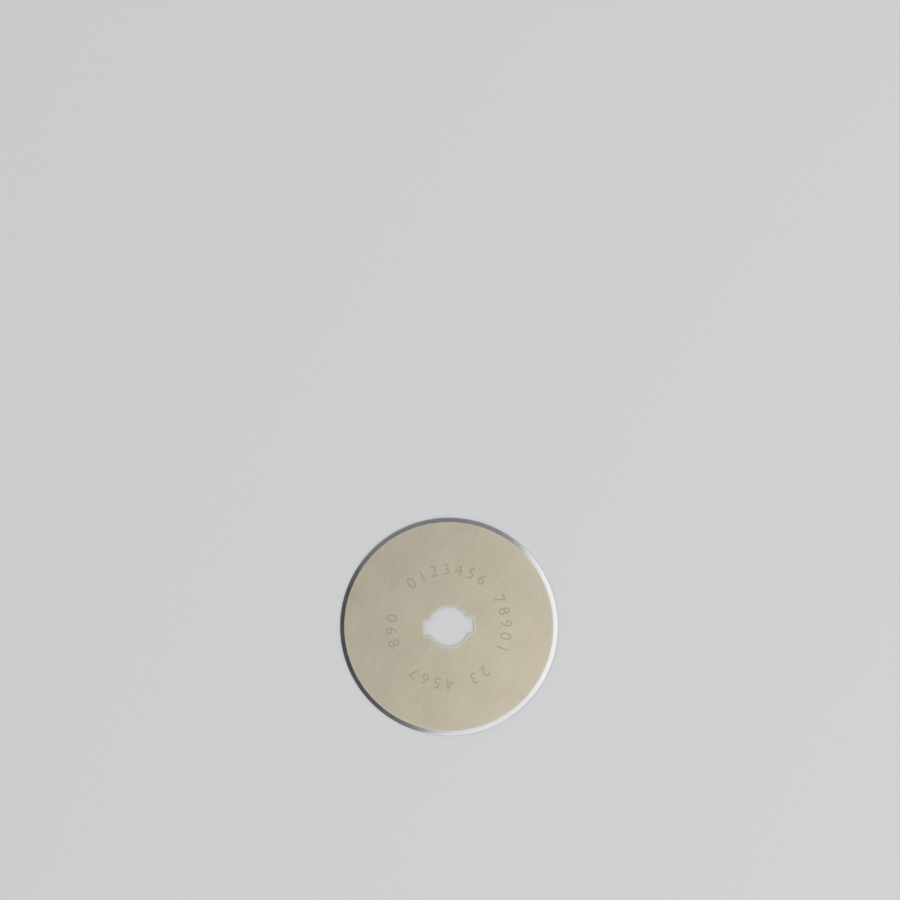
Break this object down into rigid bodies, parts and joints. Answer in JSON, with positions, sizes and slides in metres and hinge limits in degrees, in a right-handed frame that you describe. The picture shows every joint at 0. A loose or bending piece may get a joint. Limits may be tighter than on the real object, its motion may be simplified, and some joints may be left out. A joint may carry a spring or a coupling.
{
  "type": "rotary cutter blade",
  "caption": "Thin round steel cutting disc with a ground bevel on both sides, a honed rim, a centre bore and opposite drive notches.",
  "frame": {"origin": "centre of the bore on the lower face, with the blade lying flat", "axes": "+Z along the bore axis, +X through the middle of one drive notch"},
  "size_m": [0.045, 0.045, 0.0003],
  "materials": {
    "steel": "satin face, brighter ground bevel and honed rim"
  },
  "bodies": {
    "root": {"blade": "steel"}
  },
  "joints": []
}
